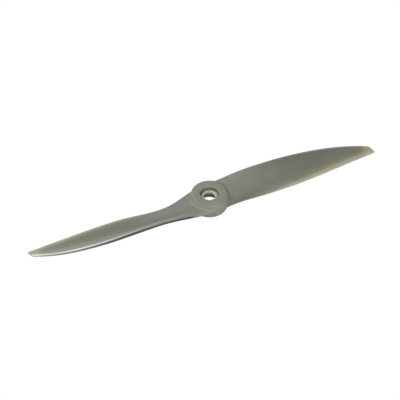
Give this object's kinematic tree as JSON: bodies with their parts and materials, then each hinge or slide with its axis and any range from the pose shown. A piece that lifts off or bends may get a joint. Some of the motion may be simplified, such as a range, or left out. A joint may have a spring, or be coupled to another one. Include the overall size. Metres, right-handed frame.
{
  "type": "two-blade model aircraft propeller",
  "caption": "Fixed-pitch two-blade propeller for a model aircraft, with a round bored hub and a loose adapter ring in the hub's front recess.",
  "frame": {"origin": "centre of the hub's flat back face, on the bore's axis, which is also the centre of the bottom of the whole part's box", "axes": "+X along blade_a from the bore's axis to its tip, +Y towards blade_a's leading edge, +Z along the bore's axis out of the hub's front face, the direction of flight"},
  "size_m": [0.2032, 0.0206, 0.0086],
  "materials": {
    "glass_filled_nylon": "satin grey-green injection moulding, translucent and amber where it is thin",
    "adapter_nylon": "satin pale grey nylon, smooth turned-looking rim"
  },
  "bodies": {
    "propeller": {"hub": "glass_filled_nylon", "blade_a": "glass_filled_nylon", "blade_b": "glass_filled_nylon"},
    "adapter": {"adapter_ring": "adapter_nylon"}
  },
  "joints": [
    {"name": "ring_lift_out", "type": "slide", "parent": "propeller", "child": "adapter", "axis": [0, 0, 1], "range_m": [0, 0.012]}
  ]
}
